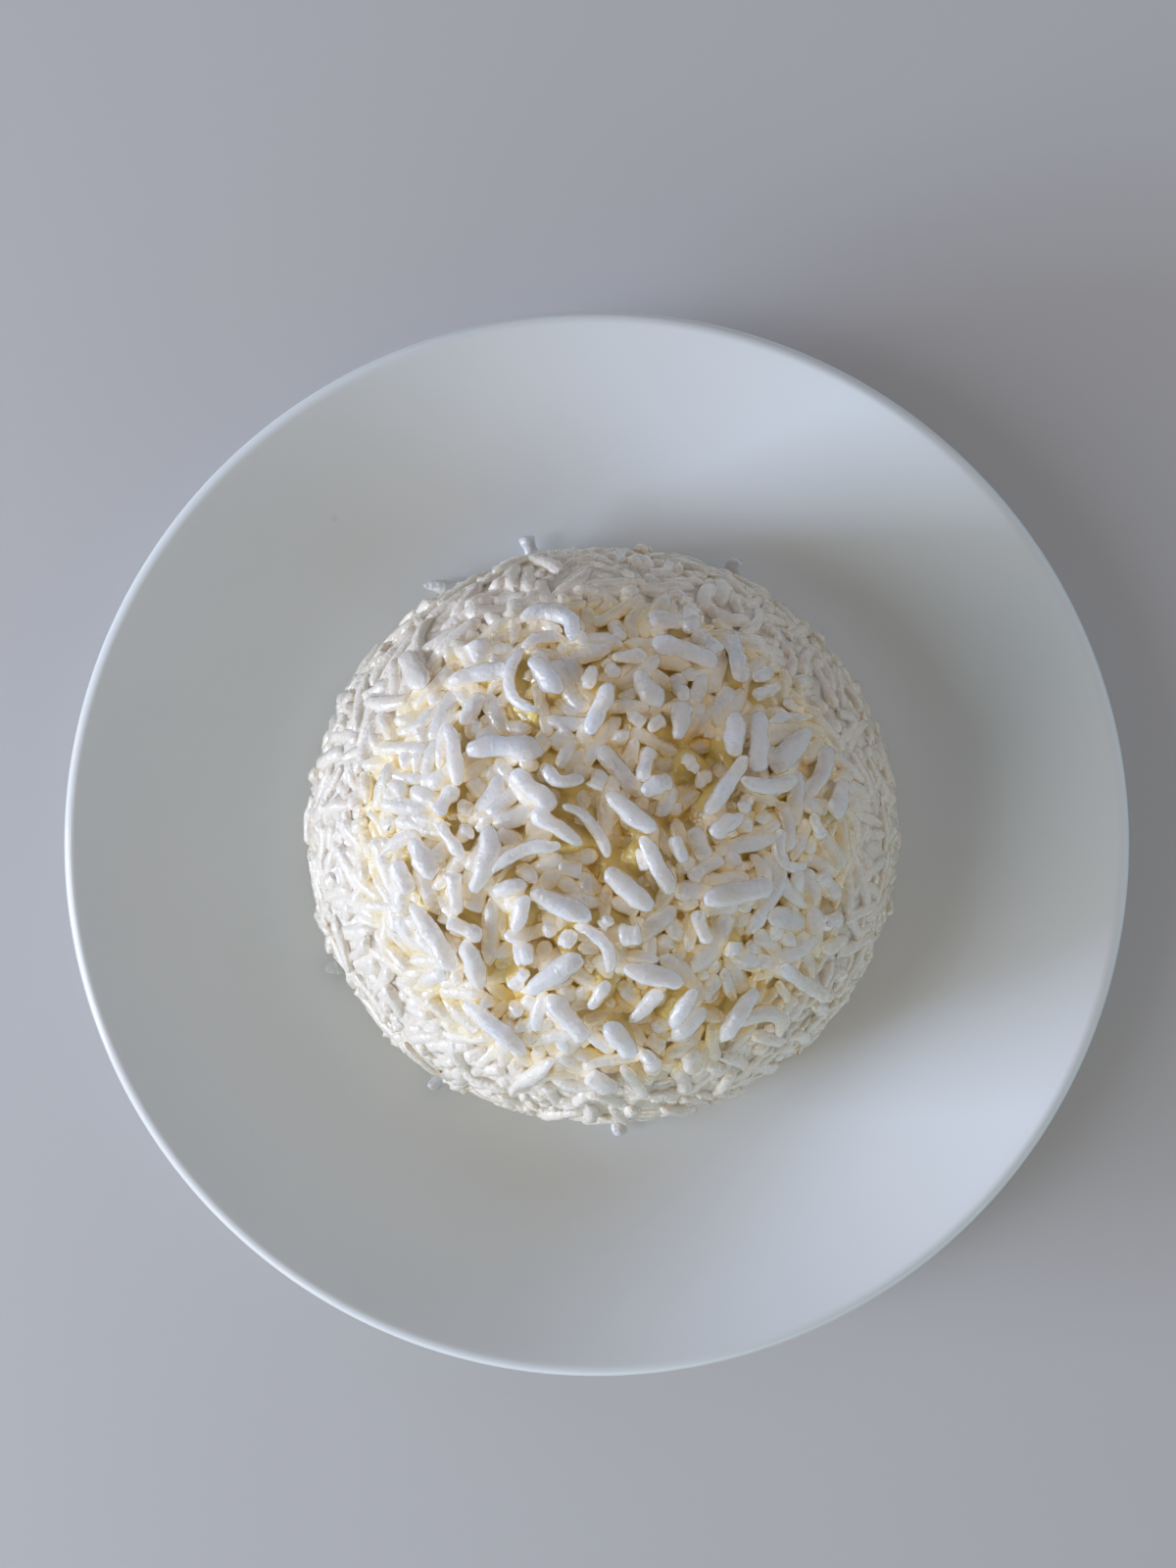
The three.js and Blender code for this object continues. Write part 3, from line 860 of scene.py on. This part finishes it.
def bedHeight(points, beads):
    # Where the starchy bed between the grains lies, measured out from the bowl's face: near each point, the
    # beads' mean height with weights exp(-d^2 / 2 spread^2 + height / rise), drawn down to the bed's floor
    # where no bead is near, and lifted. At the sides, which the bowl pressed, it follows them less, though
    # in full again low down.
    b = bed
    out, normal = mouldDistance(points)
    places, height = beads
    foot = points - normal * out[:, None]
    first, second = nearPairs(foot, places, b["reach"])
    d2 = ((foot[first] - places[second]) ** 2).sum(1)
    weight = np.exp(-d2 / (2 * b["spread"] ** 2) + height[second] / b["rise"])
    n = len(points)
    total = np.bincount(first, weight, n) + b["floorWeight"]
    mean = (np.bincount(first, weight * height[second], n) + b["floorWeight"] * b["floor"]) / total
    side, low = sideShare(normal), footShare(normal)
    height = mean + b["liftTop"]
    height = height + (b["liftSide"] - b["liftTop"]) * side + (b["liftFoot"] - b["liftSide"]) * low
    level = unevenness(foot) - b["pressed"]
    kept = b["sideRelief"] + (1 - b["sideRelief"]) * low
    return height + ((height - level) * kept + level - height) * side


def bedShadeDepth(height, normal, least):
    # How far the bed lies below its usual level there, but no less than least on the top, and no more than
    # the limits for the top, the sides and low down. This depth sets the painted shade, cream to amber.
    b, side, low = bed, sideShare(normal), footShare(normal)
    depth = b["usualTop"] + (b["usualSide"] - b["usualTop"]) * side - height
    most = b["mostSide"] + (b["mostFoot"] - b["mostSide"]) * low
    most = b["mostTop"] + (most - b["mostTop"]) * np.minimum(2 * side, 1)
    return np.clip(depth, least - b["leastDrop"] * side, most)


def wavy(points, count, height, lengths, seed):
    # A sum of sine waves, sin(2 pi d.P / length + phase), in random directions d, the long ones taller.
    rng = np.random.default_rng(seed)
    length = rng.uniform(*lengths, count)
    wave = unit(rng.normal(0, 1, (count, 3))) * (2 * math.pi / length)[:, None]
    tall = np.sqrt(length / length.mean()) * height / math.sqrt(count / 2)
    return np.sin(points @ wave.T + rng.uniform(0, 2 * math.pi, count)) @ tall


def unevenness(points):
    # The pressed sides aren't smooth.
    return wavy(points, bed["waves"], bed["waveHeight"], bed["waveLengths"], bed["seed"])


def grainSurfaces(p, beads, rings, sides, rng):
    # Each grain is an oval carried along its bowed line: point(t, a) = line(t) + w(t) (width cos a across +
    # thickness sin a up) / 2, with w(t) = (1 - |t|^n)^(1/2), blunter where n is large, and with swellings,
    # ridges and lumps of a few sine waves.
    # Returns the points ring by ring and then the two tips, whether each shows, and its values for the
    # material: how far it stands out of the bed, how deep the bed is there and how far below the bowl's
    # face it lies, which set its painted shade and light, its place along the grain, and how much it
    # belongs to the pressed sides.
    g, n, shape = grains, len(p["length"]), (p["length"], p["bow"], p["wave"])
    inset, anyPhase = g["ringInset"], 6.3
    u = -np.cos(math.pi * (np.arange(rings) + inset) / (rings - 1 + 2 * inset))
    t = u[None] * np.ones((n, 1))
    line = bowedLine(*shape, t)
    step = 1e-3
    ahead = unit(bowedLine(*shape, t + step) - bowedLine(*shape, t - step))
    sideways = unit(np.cross((0.0, 0.0, 1.0), ahead))
    upward = np.cross(ahead, sideways)
    # pointed, round or cut ends
    blunt = rng.uniform(*g["ends"], (n, 2))
    cut = rng.random((n, 2)) < np.where(p["broken"], g["cutBroken"], g["cutWhole"])[:, None]
    blunt = np.where(cut, g["cutEnd"], blunt)
    power = np.where(t < 0, blunt[:, :1], blunt[:, 1:])
    swell = 1
    for tall, slow, fast in g["swellings"]:
        rate, phase = rng.uniform(slow, fast, (n, 1)), rng.uniform(0, anyPhase, (n, 1))
        swell = swell + tall * np.sin(t * rate + phase)
    size = np.sqrt(1 - np.abs(t) ** power) * swell
    a = 2 * math.pi * np.arange(sides) / sides
    phase = rng.uniform(0, anyPhase, (n, 1, 1))
    ripple = 1
    for tall, count, shift, twist in g["ridges"]:
        ripple = ripple + tall * np.cos(count * a + shift * phase + twist * t[..., None])
    # some split along their length while boiling
    split = np.where(rng.random(n) < g["splitShare"], rng.uniform(*g["splitDepth"], n), 0)[:, None, None]
    seam = a[None, None] - rng.uniform(*g["splitPlace"], (n, 1, 1)) - g["splitTwist"] * t[..., None]
    ripple = ripple * (1 - split * np.exp(-((np.sin(seam / 2) / g["splitWidth"]) ** 2)))
    w = (p["width"] / 2)[:, None, None] * size[..., None] * ripple
    h = (p["thick"] / 2)[:, None, None] * size[..., None] * ripple
    skin = line[:, :, None] + (w * np.cos(a))[..., None] * sideways[:, :, None]
    skin = skin + (h * np.sin(a))[..., None] * upward[:, :, None]
    tips = bowedLine(*shape, np.array([[-1.0, 1.0]]) * np.ones((n, 1)))
    own = np.concatenate((skin.reshape(n, -1, 3), tips), 1)
    own[:, -2:, 1:] += rng.normal(0, g["tipShift"], (n, 2, 2)) * p["width"][:, None, None]
    world = putInPlace(p, own)

    # a skin swollen unevenly, away from the line and from places just inside the tips, and what touched the
    # bowl pressed flat, but not the top, which came away
    axis = putInPlace(p, np.concatenate((np.repeat(line, sides, 1), tips * 0.9), 1))
    rough = wavy(world, g["lumps"], g["lumpHeight"], g["lumpLengths"], g["seed"])
    world = world + unit(world - axis + 1e-6) * rough[:, None]
    out, normal = mouldDistance(world)
    each = own.shape[1]
    loose = np.repeat(p["fallen"], each)
    flatten = bed["flatten"] * sideShare(normal) * ~loose
    face = unevenness(world) + np.repeat(p["stick"], each)
    world = world - normal * (np.maximum(out - face, 0) * flatten)[:, None]
    height = bedHeight(world, beads)
    out = mouldDistance(world)[0]
    side, low, clear = sideShare(normal), footShare(normal), out - height
    proud = np.where(loose, g["fallenProud"], clear * (1 - g["fadeSide"] * side + g["fadeFoot"] * low))
    # the bed's depth there, which sets the painted shade at the grain's foot
    depth = np.where(loose, 0, bedShadeDepth(height, normal, bed["leastFoot"]))
    spot = np.concatenate((np.repeat(t, sides, 1), -np.ones((n, 1)), np.ones((n, 1))), 1)
    far = 50  # mm, so that no two grains share their pattern
    along = spot * p["length"][:, None] / 2 + far * rng.random((n, 1))
    shows = clear - g["leastSide"] * side + g["leastFoot"] * low > g["leastShown"]
    return world, shows, proud, depth, np.where(loose, 0, -out), along.ravel(), side


def grainFaces(count, rings, sides):
    # Quads between rings and a fan at each tip, the same for every grain, moved on by its first point.
    each = rings * sides + 2
    i, j = np.arange(sides), (np.arange(sides) + 1) % sides
    row = (np.arange(rings - 1) * sides)[:, None]
    quads = np.stack((row + i, row + j, row + sides + j, row + sides + i), -1).reshape(-1, 4)
    last = (rings - 1) * sides
    fans = np.concatenate((
        np.stack((np.full(sides, each - 2), j, i), 1),
        np.stack((np.full(sides, each - 1), last + i, last + j), 1),
    ))
    first = (np.arange(count) * each)[:, None, None]
    return [(quads[None] + first).reshape(-1, 4), (fans[None] + first).reshape(-1, 3)]


riceLook = {
    "pale": (0.84, 0.76, 0.69),  # the bed's own colour; deeper down it gives way to painted shade
    "halfShadeCream": (0.81, 0.70, 0.51),
    "deepShadeAmber": (0.90, 0.64, 0.17),
    "halfShadeDepths": (-0.5, 0.3),  # mm over which each gives way to the next
    "deepShadeDepths": (0.1, 1.5),
    "milk": (0.67, 0.64, 0.585),  # the grains
    "footShadeHeights": (-0.1, 2.0),  # mm out of the bed, over which the painted shade at its foot gives way to its body
    # opaque chalky starch, bluish and shown only on the raised parts: partly the grain's own chalk, partly
    # painted light
    "white": (0.67, 0.69, 0.72),
    "whiteLitHeights": (0.8, 2.6),
    "sunkShadeIvory": (0.67, 0.605, 0.48),
    "sunkShadeDepths": (0.9, 3.4),  # mm below the bowl's face, over which deeper grains take this painted shade
    "fine": (1300.0, 1.0),  # noises: scale per metre, detail and roughness
    "clots": (300.0, 3.0, 0.55),
    "wet": (900.0, 2.0),
    "wetEdge": (0.3, 0.7),
    "chalk": (0.16, 1.0),  # and these per mm along a grain
    "chalkEdge": (0.38, 0.6),
    "ribs": (1.3, 2.0, 0.6),
    "ribShare": 0.9,
    "relief": (0.0003, 0.9),  # metres, and strength
    "roughness": (0.05, 0.2),
    "ior": 1.42,
    "lightIn": {"boiledRice": (1.0, 0.6), "stuckRice": (0.0, 0.6)},  # share on the top and at the sides
    "lightDepth": (0.0055, 0.0014),  # metres, the same way
    "lightRadius": (1.0, 0.9, 0.8),
    "coat": {"boiledRice": 1.0, "stuckRice": 0.4},
    "coatRoughness": 0.05,
    "coatIor": 1.45,
}


def riceMaterial(name):
    # Milky, slightly see-through starch: light goes in and comes out warmer, less far at the sides, and the
    # surface is wet. The bed is pale, and where it is deep it is painted with shade, cream and then amber,
    # as for the dim, warm light in the gaps. A grain keeps the bed's painted shade where it comes out of
    # it, and grows milky as it rises, or white where it is opaque: chalky starch, but painted light too, as
    # it shows only on the raised tops.
    bench, look = nodeBench(name), riceLook
    place, depth, side = bench.place(), bench.value("depth"), bench.value("side")
    fine = bench.noise(place, *look["fine"])
    # the bed's colour: pale, then painted shade, cream and then amber, the deeper it lies
    colour = bench.mix(bench.between(depth, *look["halfShadeDepths"]), look["pale"], look["halfShadeCream"])
    colour = bench.mix(bench.between(depth, *look["deepShadeDepths"]), colour, look["deepShadeAmber"])
    if name == "boiledRice":
        # opaque white stretches, and fine cracks across, follow each grain's own length
        proud, sunk = bench.value("proud"), bench.value("sunk")
        spot = bench.add("ShaderNodeCombineXYZ", {"X": bench.value("along")}).outputs[0]
        chalk = bench.between(bench.noise(spot, *look["chalk"]), *look["chalkEdge"])
        chalk = bench.maths("MULTIPLY", chalk, bench.value("opaque"))
        # white only where the grain stands well out of the bed: painted light on its raised top
        chalk = bench.maths("MULTIPLY", chalk, bench.between(proud, *look["whiteLitHeights"]))
        body = bench.mix(chalk, look["milk"], look["white"])
        # grains that lie deeper below the bowl's face are painted with shade, ivory
        body = bench.mix(bench.between(sunk, *look["sunkShadeDepths"]), body, look["sunkShadeIvory"])
        # from the bed's painted shade at the foot to the grain's body as it rises
        colour = bench.mix(bench.between(proud, *look["footShadeHeights"]), colour, body)
        ribs = bench.maths("MULTIPLY", bench.noise(spot, *look["ribs"]), look["ribShare"])
        height = bench.maths("ADD", fine, ribs)
    else:
        height = bench.maths("ADD", fine, bench.noise(place, *look["clots"]))
    wet = bench.between(bench.noise(place, *look["wet"]), *look["wetEdge"], *look["roughness"])
    bench.set(**{
        "Base Color": colour,
        "Roughness": wet,
        "IOR": look["ior"],
        "Subsurface Weight": bench.between(side, 0.0, 1.0, *look["lightIn"][name]),
        "Subsurface Radius": look["lightRadius"],
        "Subsurface Scale": bench.between(side, 0.0, 1.0, *look["lightDepth"]),
        "Coat Weight": look["coat"][name],
        "Coat Roughness": look["coatRoughness"],
        "Coat IOR": look["coatIor"],
        "Normal": bench.bump(height, *look["relief"]),
    })
    bench.shader.subsurface_method = "BURLEY"
    return bench.material


def makeBed(beads):
    # The stuck rice between and below the grains: each point of the bowl's face, P(climb, turn), is moved
    # along the face's normal to the bed's height there, plus fine bumps, a sum of sine waves.
    up, around = bed["mesh"]
    climb = np.linspace(0, math.pi / 2, up)[::-1]
    power = 2 / dome["fullness"]
    wide, tall = dome["radius"] * np.cos(climb) ** power, dome["height"] * np.sin(climb) ** power
    section = np.stack((wide, tall), 1)
    section[0, 0] = 0
    points, faces = turned(np.concatenate((section, [(0, 0)])), around)
    out, normal = mouldDistance(points)
    height = bedHeight(points, beads) - out
    height += wavy(points, bed["waves"], bed["gritHeight"], bed["gritLengths"], bed["seed"] + 1)
    # how deep the bed lies, which sets its painted shade
    depth = bedShadeDepth(height, normal, bed["leastGap"])
    skin = points + normal * height[:, None]
    skin[:, 2] = np.maximum(skin[:, 2], 0)
    skin[-1] = (0, 0, 0)
    piece = meshPiece("riceMass", onPlate(skin), faces, riceMaterial("stuckRice"))
    pointValue(piece, "depth", depth)
    pointValue(piece, "side", sideShare(normal))
    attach(piece, "root")
    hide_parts("rice_heap")
    print("bed:", len(points), "points")


def makeRice():
    # The grains are packed, the bed is laid around them, and the grains that come out of it are meshed, the
    # seen ones finer than the others.
    rng = np.random.default_rng(grains["seed"])
    packed = packGrains(rng)
    beads = bedBeads({key: values[~packed["fallen"]] for key, values in packed.items()})
    makeBed(beads)
    points, faces, first = [], [], 0
    values = {name: [] for name in ("proud", "depth", "sunk", "along", "side", "opaque")}
    for chosen, fineness in ((packed["held"], "seenMesh"), (~packed["held"], "looseMesh")):
        rings, sides = grains[fineness]
        part = {key: value[chosen] for key, value in packed.items()}
        each = rings * sides + 2
        world, above, *skin = grainSurfaces(part, beads, rings, sides, rng)
        # those wholly below the bed are left out
        shows = above.reshape(-1, each).any(1)
        count = shows.sum()
        points.append(onPlate(world.reshape(-1, each, 3)[shows].reshape(-1, 3)))
        faces += [f + first for f in grainFaces(count, rings, sides)]
        for name, value in zip(values, (*skin, np.repeat(part["opaque"], each))):
            values[name].append(value.reshape(-1, each)[shows].ravel())
        first += count * each
        print("rice:", count, "of", len(shows), "grains show")
    piece = meshPiece("riceGrains", np.concatenate(points), faces, riceMaterial("boiledRice"))
    for name, value in values.items():
        pointValue(piece, name, np.concatenate(value))
    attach(piece, "root")
    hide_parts("rice_heap")


studio = {
    "away": 1.3,  # metres from the plate to each soft panel
    # soft panels: bearing from +X and climb, width and height in degrees as the plate sees them, radiance
    "panels": {
        "windowLow": (193, 9.0, 24, 8, (42.0, 53.0, 80.0)),
        "windowHigh": (193, 36, 18, 24, (4.6, 5.1, 6.2)),
        "besideWindow": (205, 14, 70, 20, (2.5, 2.1, 1.6)),
        "farWall": (90, 42, 80, 34, (0.30, 0.43, 0.72)),
        "rightWall": (0, 42, 80, 34, (0.44, 0.35, 0.37)),
        "rightLow": (0, 13, 90, 24, (0.34, 0.68, 0.96)),
        "nearLow": (270, 13, 90, 24, (0.7, 1.15, 1.5)),
    },
    "room": (0.15, 0.12, 0.07),
    "floor": (0.60, 0.585, 0.56),
    "floorRoughness": 0.7,
    "floorHalf": 4.0,
    "bounces": 6,
    # bright parts are held back as a camera does it: light in the scene, light in the picture
    "shoulder": ((0.2, 0.2), (0.4, 0.4), (0.7, 0.64), (1.0, 0.82), (1.4, 0.95), (2.0, 0.99), (3.0, 1.0)),
}


def softPanel(name, bearing, climb, wide, tall, radiance):
    # A rectangle facing the plate. Its power is pi times its area times its radiance.
    turn, rise = math.radians(bearing), math.radians(climb)
    back = Vector((math.cos(turn) * math.cos(rise), math.sin(turn) * math.cos(rise), math.sin(rise)))
    data = bpy.data.lights.new(name, "AREA")
    data.shape = "RECTANGLE"
    data.size = 2 * studio["away"] * math.tan(math.radians(wide / 2))
    data.size_y = 2 * studio["away"] * math.tan(math.radians(tall / 2))
    strongest = max(radiance)
    data.color = [c / strongest for c in radiance]
    data.energy = math.pi * data.size * data.size_y * strongest
    light = bpy.data.objects.new(name, data)
    light.location = back * studio["away"]
    light.rotation_euler = back.to_track_quat("Z", "Y").to_euler()
    light.visible_camera = False
    bpy.context.scene.collection.objects.link(light)


def makeStudio():
    for name, values in studio["panels"].items():
        softPanel(name, *values)
    world = bpy.data.worlds.new("room")
    world.use_nodes = True
    background = world.node_tree.nodes["Background"]
    background.inputs["Color"].default_value = (*studio["room"], 1)
    bpy.context.scene.world = world

    half = studio["floorHalf"] / mm
    corners = np.array(((-half, -half, 0), (half, -half, 0), (half, half, 0), (-half, half, 0)), float)
    bench = nodeBench("paleFloor")
    bench.set(**{"Base Color": (*studio["floor"], 1), "Roughness": studio["floorRoughness"]})
    floor = meshPiece("floor", corners, [np.array([[0, 1, 2, 3]])], bench.material, smooth=False)
    view = bpy.context.scene.view_settings
    view.view_transform = "Standard"
    view.use_curve_mapping = True
    curve = view.curve_mapping
    curve.clip_max_x = studio["shoulder"][-1][0]
    points = curve.curves[3].points  # the curve of all three colours
    points[-1].location = studio["shoulder"][-1]
    for x, y in studio["shoulder"][:-1]:
        points.new(x, y)
    curve.update()
    bpy.context.scene.cycles.diffuse_bounces = studio["bounces"]
    print("studio ready")


makeCamera()
makePlate()
makeRice()
makeStudio()

print("done")
